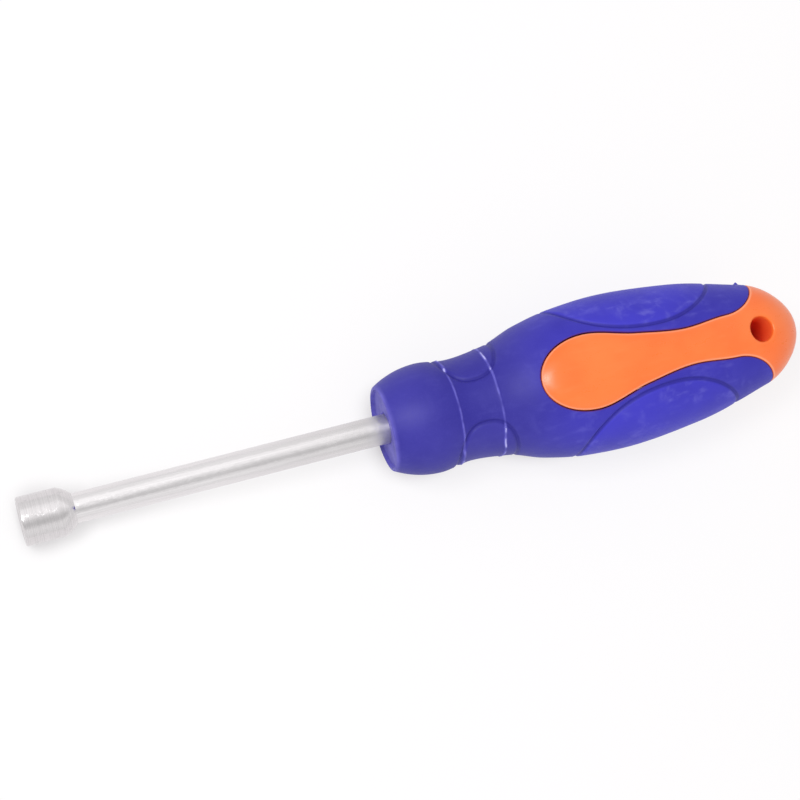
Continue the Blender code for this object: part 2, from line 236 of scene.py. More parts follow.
# Mesh limits: the step that finds a slope, what counts as on an edge, a sliver or the same point,
# the units that triangles are made in, and the angles at which edges turn sharp
SLOPE_STEP = 2e-6
EDGE_RANGE = 1e-9
SLIVER = 1e-7
SAME_POINT = 1e-7
KEYS_PER_METRE = 1e8
FLAT_UNITS = 1000
LEAST_LENGTH = 1e-12
MOULDED_SHARP_ANGLE = math.radians(55)
TURNED_SHARP_ANGLE = math.radians(40)


def place_of_tool():
    """World matrix of the tool's own axes, read from the mount on the front of the collar."""
    mount = next(m for m in frame["record"]["mounts"] if m["name"] == "collar_face")
    along = -Vector(mount["axis"]).normalized()
    side = Vector((0.0, 1.0, 0.0))
    turn = Matrix((along, side, along.cross(side))).transposed()
    x, _, z = mount["pos_m"]
    return Matrix.Translation((x, 0.0, z)) @ turn.to_4x4()


TOOL = place_of_tool()


def smooth(stations, x, first_slope=0.0, last_slope=0.0):
    """Value at x of a curve through (x, value) stations that never swings past them."""
    pairs = list(zip(stations, stations[1:]))
    rises = [(b[1] - a[1]) / (b[0] - a[0]) for a, b in pairs]
    slopes = [first_slope]
    for before, after in zip(rises, rises[1:]):
        turns = before * after <= 0
        slopes.append(0.0 if turns else 2 * before * after / (before + after))
    slopes.append(last_slope)
    last = len(pairs) - 1
    i = next((k for k, (a, b) in enumerate(pairs) if x <= b[0]), last)
    (x0, y0), (x1, y1) = pairs[i]
    step = x1 - x0
    t = min(max((x - x0) / step, 0.0), 1.0)
    start = (1 + 2 * t) * (1 - t) ** 2 * y0 + t * (1 - t) ** 2 * step * slopes[i]
    end = t * t * (3 - 2 * t) * y1 - t * t * (1 - t) * step * slopes[i + 1]
    return start + end


def half_width(x):
    """Half the handle's width, from the collar's rounded rim to the domed butt."""
    width = smooth(OUTLINE, x, FRONT_SLOPE, BUTT_SLOPE)
    if x < FRONT_ROUND:
        width -= FRONT_ROUND - math.sqrt(FRONT_ROUND**2 - (FRONT_ROUND - x) ** 2)
    into_butt = (x - HANDLE_LENGTH + BUTT_ROUND_LENGTH) / BUTT_ROUND_LENGTH
    if into_butt > 0:
        width *= max(0.0, 1 - into_butt**BUTT_POWER) ** (1 / BUTT_POWER)
    return width


def depth_ratio(x):
    """Depth over width: round to the neck, flatter from the belly back."""
    ratio = BELLY_HALF_DEPTH / BELLY_HALF_WIDTH
    return smooth([(NECK_AT, 1.0), (BELLY_AT, ratio), (HANDLE_LENGTH, ratio)], x)


def section_power(x):
    """Power of the section's superellipse, which is fullest at the belly."""
    return smooth([(NECK_AT, ROUND_POWER), (BELLY_AT, BELLY_POWER), (HANDLE_LENGTH, ROUND_POWER)], x)


class Skin:
    """The handle's surface, unrolled: u runs along its outline and v round a quarter of it."""

    def __init__(self):
        rim = half_width(0.0)
        bore = SHANK_RADIUS + SHANK_HOLE_GAP
        face = [(0.0, bore + (rim - bore) * k / FACE_SAMPLES) for k in range(FACE_SAMPLES)]
        side = []
        for k in range(SIDE_SAMPLES + 1):
            x = HANDLE_LENGTH * (1 - math.cos(math.pi * k / SIDE_SAMPLES)) / 2
            side.append((x, half_width(x)))
        outline = np.array(face + side)
        self.x, self.width = outline.T
        steps = np.hypot(*np.diff(outline, axis=0).T)
        self.u = np.concatenate([[0.0], np.cumsum(steps)])
        self.ratio = np.array([depth_ratio(x) for x in self.x])
        self.power = np.array([2 / section_power(x) for x in self.x])
        self.rim_u = self.u[len(face)]
        self.end_u = self.u[-1]
        self.end_v = math.pi / 2 * ANGLE_SCALE
        self.side_x = self.x[len(face):]
        self.side_u = self.u[len(face):]

    def row(self, u):
        """x, half width, depth over width and section power at u."""
        return [np.interp(u, self.u, values) for values in (self.x, self.width, self.ratio, self.power)]

    def points(self, u, v):
        """Places of (u, v) in the tool's axes."""
        x, width, ratio, power = self.row(u)
        angle = np.clip(v / ANGLE_SCALE, 0.0, math.pi / 2)
        y = width * np.sin(angle) ** power
        z = width * ratio * np.cos(angle) ** power
        return np.stack([x, y, z], axis=-1)

    def normals(self, u, v):
        """Outward normals, square to the outline and to the section's superellipse."""
        low = np.clip(u - SLOPE_STEP, 0.0, self.end_u)
        high = np.clip(u + SLOPE_STEP, 0.0, self.end_u)
        along = self.points(high, v) - self.points(low, v)
        x, width, ratio, power = self.row(u)
        width = np.maximum(width, SLOPE_STEP)
        place = self.points(u, v)
        pull_y = (place[:, 1] / width) ** (2 / power - 1)
        pull_z = (place[:, 2] / (width * ratio)) ** (2 / power - 1) / ratio
        across = np.stack([np.zeros_like(x), pull_z, -pull_y], axis=-1)
        found = unit(np.cross(along, across))
        found[u > self.end_u - SLOPE_STEP] = (1.0, 0.0, 0.0)
        return found

    def unroll(self, places):
        """(u, v) of places on or near the side of the handle."""
        u = np.interp(places[:, 0], self.side_x, self.side_u)
        _, _, ratio, power = self.row(u)
        y = np.maximum(places[:, 1], 0.0) ** (1 / power)
        z = np.maximum(places[:, 2] / ratio, 0.0) ** (1 / power)
        return np.stack([u, np.arctan2(y, z) * ANGLE_SCALE], axis=-1)


def unit(vectors):
    """The vectors, each at length 1."""
    lengths = np.linalg.norm(vectors, axis=-1, keepdims=True)
    return vectors / np.maximum(lengths, LEAST_LENGTH)


SKIN = Skin()


def window_half_width(x):
    """Half the width of the orange window at x, seen from above."""
    if x < WINDOW_WIDEST_AT:
        back = min((WINDOW_WIDEST_AT - x) / (WINDOW_WIDEST_AT - WINDOW_NOSE_AT), 1.0)
        return WINDOW_HALF_WIDTH * math.sqrt(1 - back * back)
    if x < WINDOW_FLARE_AT:
        return smooth(WINDOW_OUTLINE, x)
    into = min((x - WINDOW_FLARE_AT) / (PRONG_TIP_AT - WINDOW_FLARE_AT), 1.0)
    return WINDOW_FLARE_HALF_WIDTH + WINDOW_FLARE_HEIGHT * (1 - math.sqrt(1 - into * into))


def from_above(plan):
    """(u, v) of plan places (x, y) on the upper face."""
    x, y = np.array(plan).T
    u = np.interp(x, SKIN.side_x, SKIN.side_u)
    _, width, _, power = SKIN.row(u)
    angle = np.arcsin(np.clip(y / width, 0.0, 1.0) ** (1 / power))
    return np.stack([u, angle * ANGLE_SCALE], axis=-1)


def window_line():
    """The seam from the window's nose to the tip of the prong of blue on the side."""
    low, high = WINDOW_FLARE_AT, PRONG_TIP_AT
    for _ in range(HALVINGS):
        middle = (low + high) / 2
        inside = window_half_width(middle) < half_width(middle)
        low, high = (middle, high) if inside else (low, middle)
    plan = []
    for k in range(WINDOW_SAMPLES + 1):
        share = (1 - math.cos(math.pi * k / WINDOW_SAMPLES)) / 2
        x = WINDOW_NOSE_AT + (low - WINDOW_NOSE_AT) * share
        plan.append((x, window_half_width(x)))
    line = from_above(plan)
    line[-1, 1] = SKIN.end_v
    return line


def hole_line():
    """Outer edge of the hanging hole's rounded lip."""
    radius = HOLE_RADIUS + HOLE_LIP
    turns = np.linspace(math.pi, 0.0, HOLE_SAMPLES)
    plan = [(HOLE_AT + radius * math.cos(a), max(radius * math.sin(a), 0.0)) for a in turns]
    return from_above(plan)


def pad_line(middle, front_length, rear_length, half_angle, power):
    """Upper half of a finger pad's egg-shaped outline, from its front end to its rear end."""
    turns = np.linspace(math.pi, 0.0, PAD_SAMPLES)
    along = np.sign(np.cos(turns)) * np.abs(np.cos(turns)) ** (2 / power)
    x = middle + along * np.where(along > 0, rear_length, front_length)
    angle = math.pi / 2 - half_angle * np.clip(np.sin(turns), 0.0, 1.0) ** (2 / power)
    u = np.interp(x, SKIN.side_x, SKIN.side_u)
    return np.stack([u, angle * ANGLE_SCALE], axis=-1)


def ring_line(x):
    """Line straight round a quarter of the handle at x."""
    u = np.interp(x, SKIN.side_x, SKIN.side_u)
    return np.stack([np.full(RING_SAMPLES, u), np.linspace(0.0, SKIN.end_v, RING_SAMPLES)], axis=-1)


def even(line, step=LINE_STEP):
    """The line's (u, v) points spaced evenly along its length on the surface."""
    places = SKIN.points(*line.T)
    lengths = np.concatenate([[0.0], np.cumsum(np.linalg.norm(np.diff(places, axis=0), axis=1))])
    count = max(2, round(lengths[-1] / step))
    wanted = np.linspace(0.0, lengths[-1], count + 1)
    return np.stack([np.interp(wanted, lengths, line[:, k]) for k in range(2)], axis=-1)


def sideways(line):
    """Directions in the surface, square to the line, towards its left as seen from outside."""
    places = SKIN.points(*line.T)
    return unit(np.cross(SKIN.normals(*line.T), np.gradient(places, axis=0)))


def rows_beside(line, offsets, both=True):
    """Rows of (u, v) points at the given distances beside the line."""
    places = SKIN.points(*line.T)
    aside = sideways(line)
    rows = []
    for offset in offsets:
        for sign in (1, -1) if both and offset else (1,):
            row = SKIN.unroll(places + sign * offset * aside)
            for end in (0, -1):
                if line[end, 1] < EDGE_RANGE or line[end, 1] > SKIN.end_v - EDGE_RANGE:
                    row[end, 1] = line[end, 1]
            rows.append(row)
    return rows


def tree_of(places):
    """Search tree that finds the nearest of the places."""
    tree = kdtree.KDTree(len(places))
    for k, place in enumerate(places):
        tree.insert(place, k)
    tree.balance()
    return tree


class Layout:
    """Points of a quarter of the handle, of which later ones keep clear of earlier ones."""

    def __init__(self):
        self.uv = np.zeros((0, 2))
        self.edges = []

    def add(self, uv, clear=0.0, linked=False):
        """Add points that are clear of those already there, linked into a line if asked."""
        ends = np.array((SKIN.end_u, SKIN.end_v))
        inside = np.all((uv > -EDGE_RANGE) & (uv < ends + EDGE_RANGE), axis=1)
        uv = np.clip(uv[inside], 0.0, ends)
        if clear and len(self.uv):
            tree = tree_of(SKIN.points(*self.uv.T))
            free = [tree.find(place)[2] > clear for place in SKIN.points(*uv.T)]
            uv = uv[np.array(free, dtype=bool)]
        start = len(self.uv)
        self.uv = np.concatenate([self.uv, uv])
        if linked:
            self.edges += [(k, k + 1) for k in range(start, len(self.uv) - 1)]
        return range(start, len(self.uv))


def skin_rows():
    """Rows of points that fill the surface between the feature lines."""
    places = list(np.arange(SEAM_ROWS[-1], SKIN.rim_u - SKIN_STEP / 2, SKIN_STEP))
    rim_end = SKIN.rim_u + 2 * FRONT_ROUND
    places += list(np.arange(SKIN.rim_u - 2 * RIM_STEP, rim_end, RIM_STEP))
    places += list(np.arange(rim_end + SKIN_STEP / 2, SKIN.end_u - SKIN_STEP / 3, SKIN_STEP))
    rows = []
    for k, u in enumerate(places):
        _, width, _, _ = SKIN.row(u)
        count = max(2, math.ceil(width * math.pi / 2 / SKIN_STEP))
        shares = np.arange(count + 1.0) / count
        if k % 2:
            shares = np.concatenate([[0.0], (np.arange(count) + 0.5) / count, [1.0]])
        rows.append(np.stack([np.full(len(shares), u), shares * SKIN.end_v], axis=-1))
    return rows


def turned_row(u):
    """Row of evenly spaced points round a quarter of the surface at u."""
    _, width, _, _ = SKIN.row(u)
    count = math.ceil(width * math.pi / 2 / LINE_STEP)
    return np.stack([np.full(count + 1, u), np.linspace(0.0, SKIN.end_v, count + 1)], axis=-1)


class Quarter:
    """A quarter of the handle's skin: its points, faces and distances to the feature lines."""

    def __init__(self):
        lines = {
            "seam": even(window_line()),
            "hole": even(hole_line()),
            "neck_pad": even(pad_line(*NECK_PAD)),
            "side_pad": even(pad_line(*SIDE_PAD)),
        }
        rings = [even(ring_line(x)) for x in FLASH_RING_PLACES]
        layout = Layout()
        layout.add(np.array([(u, v) for u in (0.0, SKIN.end_u) for v in (0.0, SKIN.end_v)]))
        seam = layout.add(lines["seam"], linked=True)
        hole = layout.add(lines["hole"], linked=True)
        for row in rows_beside(lines["seam"], SEAM_ROWS[1:]):
            layout.add(row)
        for row in rows_beside(lines["hole"], HOLE_ROWS, both=False):
            layout.add(row)
        pads = (lines["neck_pad"], lines["side_pad"])
        grooves = [row for pad in pads for row in rows_beside(pad, GROOVE_ROWS)]
        layout.add(np.concatenate(grooves), clear=GROOVE_CLEAR)
        flashes = [row for ring in rings for row in rows_beside(ring, FLASH_ROWS)]
        layout.add(np.concatenate(flashes), clear=FLASH_CLEAR)
        layout.add(np.concatenate([turned_row(u) for u in SEAM_ROWS]), clear=ROW_CLEAR)
        lip = [turned_row(SKIN.rim_u - FRONT_LIP_WIDTH + step) for step in FRONT_LIP_ROWS]
        layout.add(np.concatenate(lip), clear=ROW_CLEAR)
        nib = SKIN.unroll(np.array([NIB_PLACE]))
        layout.add(np.array([nib[0] + (u, v) for u in NIB_ROWS for v in NIB_ROWS]), clear=FLASH_CLEAR)
        layout.add(np.concatenate(skin_rows()), clear=SKIN_CLEAR)
        self.triangulate(layout, hole)
        self.mark(lines, layout, seam)

    def triangulate(self, layout, hole):
        """Faces between the points, sorted into orange and blue, with the hole left open."""
        given = [Vector(uv) * FLAT_UNITS for uv in layout.uv]
        verts, _, faces, origins, _, _ = delaunay_2d_cdt(given, layout.edges, [], 0, SAME_POINT)
        uv = np.array([layout.uv[o[0]] if o else np.array(v) / FLAT_UNITS for v, o in zip(verts, origins)])
        self.index = {first: k for k, o in enumerate(origins) for first in o}
        self.uv = uv
        self.places = SKIN.points(*uv.T)
        self.normals = SKIN.normals(*uv.T)
        self.painted_hole_red = np.zeros(len(uv))
        self.orange = []
        self.blue = []
        reach = (HOLE_RADIUS + HOLE_LIP) ** 2
        for face in faces:
            around = uv[list(face), 1]
            if around.max() < SLIVER or around.min() > SKIN.end_v - SLIVER:
                continue
            x, y, _ = SKIN.points(*np.mean(uv[list(face)], axis=0))
            if x > WINDOW_NOSE_AT and y < window_half_width(x):
                if (x - HOLE_AT) ** 2 + y * y > reach:
                    self.orange.append(tuple(face))
            else:
                self.blue.append(tuple(face))
        self.add_painted_hole_red([self.index[k] for k in hole])

    def add_painted_hole_red(self, rim):
        """Rounded lip of the hanging hole, and its wall down to the middle of the handle."""
        levels = [k / LIP_STEPS for k in range(1, LIP_STEPS + 1)]
        levels += [1 + k / WALL_STEPS for k in range(1, WALL_STEPS + 1)]
        start = self.places[rim]
        flat = start[:, :2] - (HOLE_AT, 0.0)
        inner = flat * HOLE_RADIUS / (HOLE_RADIUS + HOLE_LIP) + (HOLE_AT, 0.0)
        corner = SKIN.points(*from_above(inner).T)
        corner[:, 1] = inner[:, 1]
        foot = corner - np.array([0.0, 0.0, HOLE_LIP_DEPTH])
        previous = list(rim)
        for level in levels:
            t = min(level, 1.0)
            place = (1 - t) ** 2 * start + 2 * t * (1 - t) * corner + t * t * foot
            slope = 2 * (1 - t) * (corner - start) + 2 * t * (foot - corner)
            place[:, 2] *= min(1.0, 2.0 - level)
            around = np.stack([-flat[:, 1], flat[:, 0], np.zeros(len(flat))], axis=-1)
            normal = unit(np.cross(around, slope))
            first = len(self.places)
            self.places = np.concatenate([self.places, place])
            self.normals = np.concatenate([self.normals, normal])
            self.uv = np.concatenate([self.uv, self.uv[rim]])
            red = np.interp(level, (THROAT_REDDENS_AT, THROAT_RED_AT), (0.0, 1.0))
            self.painted_hole_red = np.concatenate([self.painted_hole_red, np.full(len(rim), red)])
            ring = list(range(first, first + len(rim)))
            self.orange += zip(previous, ring, ring[1:], previous[1:])
            previous = ring

    def mark(self, lines, layout, seam):
        """Distances to the feature lines, and the way the two skins draw apart at the seam."""
        self.away = {}
        for name in ("seam", "neck_pad", "side_pad"):
            tree = tree_of(SKIN.points(*even(lines[name], FINE_LINE_STEP).T))
            self.away[name] = np.array([tree.find(place)[2] for place in self.places])
        self.away["bore"] = self.uv[:, 0]
        self.away["rim"] = np.abs(self.uv[:, 0] - SKIN.rim_u - FRONT_ROUND / 2)
        self.away["parting"] = np.abs(self.places[:, 2])
        turn = self.uv[:, 1] / ANGLE_SCALE
        x = self.places[:, 0]
        self.in_pad = np.maximum(inside_pad(x, turn, *NECK_PAD), inside_pad(x, turn, *SIDE_PAD))
        self.apart = np.zeros_like(self.places)
        aside = sideways(layout.uv[list(seam)])
        for k, direction in zip(seam, aside):
            self.apart[self.index[k]] = direction


def inside_pad(x, turn, middle, front_length, rear_length, half_angle, power):
    """1 inside a finger pad and 0 outside it."""
    along = np.abs(x - middle) / np.where(x > middle, rear_length, front_length)
    across = np.abs(turn - math.pi / 2) / half_angle
    return (along**power + across**power < 1).astype(float)


def mirrored(vectors, flips):
    """The vectors of a quarter in all four quarters, one quarter after the other."""
    return np.concatenate([vectors * flip for flip in flips])


class Handle:
    """The whole skin, mirrored from a quarter, with its detail raised and sunk."""

    def __init__(self):
        quarter = Quarter()
        flips = np.array([(1, 1, 1), (1, -1, 1), (1, -1, -1), (1, 1, -1)], dtype=float)
        everywhere = mirrored(quarter.places, flips)
        keys = np.round(everywhere * KEYS_PER_METRE).astype(np.int64)
        _, first, merged = np.unique(keys, axis=0, return_index=True, return_inverse=True)
        merged = merged.reshape(-1)
        self.places = everywhere[first]
        self.normals = mirrored(quarter.normals, flips)[first]
        self.apart = mirrored(quarter.apart, flips)[first]
        count = len(quarter.places)
        source = first % count
        self.away = {name: values[source] for name, values in quarter.away.items()}
        self.in_pad = quarter.in_pad[source]
        self.painted_hole_red = quarter.painted_hole_red[source]
        self.faces = {}
        for name in ("orange", "blue"):
            faces = []
            for k, flip in enumerate(flips):
                order = int(np.prod(flip))
                for face in getattr(quarter, name):
                    corners = [merged[k * count + c] for c in face[::order]]
                    kept = list(dict.fromkeys(corners))
                    if len(kept) > 2:
                        faces.append(kept)
            self.faces[name] = faces

    def blotches(self, size, seed):
        """Smooth random values from about -1 to 1, in patches of the given size."""
        shift = Vector([seed * step for step in SEED_SHIFT])
        return np.array([noise.noise(Vector(place) / size + shift) for place in self.places])


def lip_drop(distance, radius=LIP_ROUND):
    """How far a rounded lip lies below the surface at a distance from its edge."""
    inward = np.clip(radius - distance, 0.0, radius)
    return radius - np.sqrt(radius**2 - inward**2)


def ease(values, low, high):
    """Smooth step from 0 to 1 as the values go from low to high."""
    share = np.clip((values - low) / (high - low), 0.0, 1.0)
    return share * share * (3 - 2 * share)


def bell(distance, spread):
    """1 at no distance, falling smoothly to nothing past the spread."""
    return np.exp(-((distance / spread) ** 2))


class Outside:
    """The detailed outside of one of the handle's pieces, which hidden walls close to a solid."""

    def __init__(self, faces, handle, height, apart):
        self.used = sorted({corner for face in faces for corner in face})
        index = {corner: k for k, corner in enumerate(self.used)}
        self.places = handle.places[self.used]
        self.on_seam = np.any(handle.apart[self.used] != 0.0, axis=1)
        raised = self.places + height[self.used, None] * handle.normals[self.used]
        self.points = raised + apart * SEAM_GAP / 2 * handle.apart[self.used]
        self.faces = [[index[c] for c in face] for face in faces]
        links = dict.fromkeys(link for face in self.faces for link in zip(face, face[1:] + face[:1]))
        self.edges = [(a, b) for a, b in links if (b, a) not in links]

    def finish(self, name, points, faces, masks):
        """Object with the added points and faces, and with the masks that its material reads."""
        mesh = bpy.data.meshes.new(name)
        mesh.from_pydata(np.concatenate([self.points, points]).tolist(), [], self.faces + faces)
        for label, values in masks.items():
            layer = mesh.attributes.new(label, "FLOAT", "POINT")
            padded = np.concatenate([values[self.used], np.zeros(len(points))])
            layer.data.foreach_set("value", padded.astype(np.float32))
        mesh.shade_smooth()
        mesh.set_sharp_from_angle(angle=MOULDED_SHARP_ANGLE)
        return piece(name, mesh)


def upright_walls(outside):
    """Walls that join a piece's upper seam straight down to its lower one."""
    keys = [tuple(key) for key in np.round(outside.places * KEYS_PER_METRE).astype(np.int64)]
    index = {key: k for k, key in enumerate(keys)}
    below = [index[(x, y, -z)] for x, y, z in keys]
    walls = []
    for a, b in outside.edges:
        if outside.on_seam[a] and outside.places[a, 2] + outside.places[b, 2] > 0:
            walls.append(list(dict.fromkeys((b, a, below[a], below[b]))))
    return walls


def blind_bore(outside):
    """Points and faces of the hole that the shank sits in, down to its flat end."""
    after = {a: b for a, b in outside.edges if not outside.on_seam[a]}
    ring = [min(after)]
    while after[ring[-1]] != ring[0]:
        ring.append(after[ring[-1]])
    deep = [len(outside.points) + k for k in range(len(ring))]
    walls = [[b, a, c, d] for a, b, c, d in zip(ring, ring[1:] + ring[:1], deep, deep[1:] + deep[:1])]
    return outside.points[ring] + (BORE_DEPTH, 0.0, 0.0), walls + [deep[::-1]]


def piece(name, mesh):
    """Object laid where the frame lies, whose points remember their places in the tool's axes."""
    places = np.zeros(3 * len(mesh.vertices), dtype=np.float32)
    mesh.vertices.foreach_get("co", places)
    mesh.attributes.new("tool_place", "FLOAT_VECTOR", "POINT").data.foreach_set("vector", places)
    mesh.transform(TOOL)
    return placed(name, mesh)


def placed(name, data):
    """New object in the scene."""
    made = bpy.data.objects.new(name, data)
    bpy.context.scene.collection.objects.link(made)
    return made


def front_lip(handle):
    """Height of the grip's front: a raised lip along its rim round a slightly sunk face."""
    place = handle.away["bore"]
    edge = SKIN.rim_u - FRONT_LIP_WIDTH
    rise = ease(place, edge + FRONT_LIP_ROWS[1], edge + FRONT_LIP_ROWS[-1])
    fade = 1 - ease(place, SKIN.rim_u, SKIN.rim_u + FRONT_LIP_FADE)
    return FRONT_LIP_HEIGHT * rise * fade - FRONT_SUNK * (1 - rise)


def make_grip(handle):
    """The soft grip: pillowed pads in grooves, uneven flash, a lipped front and the nib."""
    seam = handle.away["seam"]
    wander = handle.blotches(WANDER_SIZE, 1)
    speckle = handle.blotches(SPECKLE_SIZE, 2)
    nearest = np.minimum(handle.away["neck_pad"], handle.away["side_pad"])
    groove = (1 - np.clip(nearest / GROOVE_HALF_WIDTH, 0.0, 1.0) ** 2) ** 2
    pillow = handle.in_pad * (1 - np.exp(-nearest / PAD_PILLOW_REACH))
    uneven = np.clip(0.8 + 0.5 * wander + 0.25 * speckle, 0.35, 1.2)
    drift = FLASH_DRIFT * handle.blotches(DRIFT_SIZE, 7)
    ring = np.min([np.abs(handle.places[:, 0] - x - drift) for x in FLASH_RING_PLACES], axis=0)
    burr = 1 + handle.in_pad * np.clip(0.35 + 1.2 * speckle, 0.0, 0.9)
    flash = bell(ring, FLASH_HALF_WIDTH) * uneven * burr
    rim = bell(handle.away["rim"], RIM_BEAD_HALF_WIDTH) * uneven
    side_line = bell(handle.away["parting"], FLASH_HALF_WIDTH) * np.clip(0.6 + 0.6 * wander, 0.0, 1.2)
    raised = FLASH_HEIGHT * flash + RIM_BEAD_HEIGHT * rim + SIDE_LINE_HEIGHT * side_line
    nib = bell(np.linalg.norm(handle.places - NIB_PLACE, axis=1), NIB_HALF_WIDTH)
    height = PAD_PILLOW * pillow - GROOVE_DEPTH * groove * (1 + 0.12 * wander) + raised * (1 - groove)
    swell = GRIP_SWELL * handle.blotches(GRIP_SWELL_SIZE, 3)
    height = height + swell + front_lip(handle) + NIB_HEIGHT * nib
    height = height - lip_drop(seam) - lip_drop(handle.away["bore"], BORE_ROUND)
    # Where the front face gets its painted light, fading out just past the rim
    face = 1 - ease(handle.away["bore"], SKIN.rim_u, SKIN.rim_u + FRONT_PAINTED_LIGHT_FADE)
    masks = {
        # Painted shade in the grooves round the pads
        "groove": groove,
        "seam": bell(seam, SEAM_SHADE),
        "flash": np.maximum(np.maximum(flash, 0.5 * rim), np.maximum(0.4 * side_line, 0.7 * nib)),
        "pad": handle.in_pad,
        "face": face * uneven,
    }
    outside = Outside(handle.faces["blue"], handle, height, 1)
    bore_points, bore_faces = blind_bore(outside)
    made = outside.finish("grip_skin", bore_points, upright_walls(outside) + bore_faces, masks)
    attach(made, "root")
    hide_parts("soft_grip")
    made.data.materials.append(blue_rubber())


def make_core(handle):
    """The hard core: panels that fall slightly to their edges, the butt and the hanging hole."""
    seam = handle.away["seam"]
    x = handle.places[:, 0]
    fall = PANEL_FALL * np.clip(1 - seam / PANEL_FALL_REACH, 0.0, 1.0) ** 2
    fall *= 1 - ease(x, WINDOW_WAIST_AT, PRONG_TIP_AT)
    fall += NOSE_DIP * np.clip(1 - (x - WINDOW_NOSE_AT) / NOSE_DIP_REACH, 0.0, 1.0) ** 2
    height = CORE_SWELL * handle.blotches(CORE_SWELL_SIZE, 4) - lip_drop(seam) - fall
    masks = {
        # Painted shade along the seam
        "groove": bell(seam, SEAM_SHADE / 2),
        # Painted highlight on the lip beside the seam
        "lip": bell(seam - LIP_SHINE_AT, SEAM_SHADE),
        # Painted red in the hole's wall, deeper further in
        "painted_hole_red": handle.painted_hole_red,
    }
    outside = Outside(handle.faces["orange"], handle, height, -1)
    made = outside.finish("core_skin", np.zeros((0, 3)), upright_walls(outside), masks)
    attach(made, "root")
    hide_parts("handle_core")
    made.data.materials.append(orange_plastic())


def ringed(name, rows, count):
    """Closed turned piece of (x, radius) rows, whose radius may be a function of the angle."""
    angles = [2 * math.pi * k / count for k in range(count)]
    points = []
    for x, radius in rows:
        for a in angles:
            r = radius(a) if callable(radius) else radius
            points.append((x, r * math.sin(a), r * math.cos(a)))
    rings = [list(range(k * count, (k + 1) * count)) for k in range(len(rows))]
    faces = []
    for ring, after in zip(rings, rings[1:]):
        faces += zip(ring, ring[1:] + ring[:1], after[1:] + after[:1], after)
    faces += [rings[0][::-1], rings[-1]]
    mesh = bpy.data.meshes.new(name)
    mesh.from_pydata(points, [], faces)
    mesh.shade_smooth()
    mesh.set_sharp_from_angle(angle=TURNED_SHARP_ANGLE)
    return piece(name, mesh)


def make_shank():
    """The plated bar, from inside the handle to just inside the socket."""
    start = SOCKET_LENGTH - BLADE_LENGTH - SHANK_SEAT
    length = SHANK_END - SHANK_CHAMFER - start
    rows = [(SHANK_END, SHANK_RADIUS - SHANK_CHAMFER)]
    rows += [(start + length * (1 - k / SHANK_STEPS), SHANK_RADIUS) for k in range(SHANK_STEPS + 1)]
    made = ringed("shank_bar", rows, SHANK_TURN_STEPS)
    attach(made, "root")
    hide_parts("shank")
    made.data.materials.append(drawn_chrome())


def hex_radius(across_flats):
    """Radius of a hexagon with rounded corners as a function of the angle."""
    flat = across_flats / 2
    corner = flat / math.cos(math.pi / 6) - HEX_CORNER_ROUND

    def radius(a):
        turn = (a + math.pi / 6) % (math.pi / 3) - math.pi / 6
        return min(flat / math.cos(turn), corner)

    return radius


def make_socket():
    """The plated socket, from the shank's seat over the outside to the end of the recess."""
    mouth = -BLADE_LENGTH
    back = mouth + SOCKET_LENGTH
    back_radius = SHANK_RADIUS + SOCKET_BACK_LIP
    hole_radius = SHANK_RADIUS + SHANK_HOLE_GAP / 2
    rows = [(back - SHANK_SEAT_DEPTH, hole_radius), (back, hole_radius)]
    for k in range(SOCKET_STEPS + 1):
        share = 1 - k / SOCKET_STEPS
        fall = (SOCKET_RADIUS - back_radius) * share**SOCKET_TAPER_POWER
        rows.append((back - SOCKET_TAPER * (1 - share), SOCKET_RADIUS - fall))
    body = SOCKET_LENGTH - SOCKET_TAPER - RIM_CHAMFER
    for k in range(1, SOCKET_STEPS + 1):
        rows.append((back - SOCKET_TAPER - body * k / SOCKET_STEPS, SOCKET_RADIUS))
    for k in range(1, SOCKET_RIM_STEPS + 1):
        a = math.pi / 2 * k / SOCKET_RIM_STEPS
        rim_radius = SOCKET_RADIUS - RIM_CHAMFER * (1 - math.cos(a))
        rows.append((mouth + RIM_CHAMFER * (1 - math.sin(a)), rim_radius))
    hexagon = hex_radius(HEX_ACROSS_FLATS)
    eased = mouth + HEX_MOUTH_EASE
    rows.append((mouth, hex_radius(HEX_ACROSS_FLATS + 2 * HEX_MOUTH_EASE)))
    rows.append((eased, hexagon))
    for k in range(1, SOCKET_RIM_STEPS + 1):
        rows.append((eased + (HEX_DEPTH - HEX_MOUTH_EASE) * k / SOCKET_RIM_STEPS, hexagon))
    rows.append((mouth + HEX_DEPTH, DRILL_RADIUS))
    rows.append((mouth + HEX_DEPTH + DRILL_TIP_LENGTH, DRILL_TIP_RADIUS))
    made = ringed("socket_shell", rows, SOCKET_TURN_STEPS)
    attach(made, "root")
    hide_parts("socket_head")
    made.data.materials.append(turned_chrome())


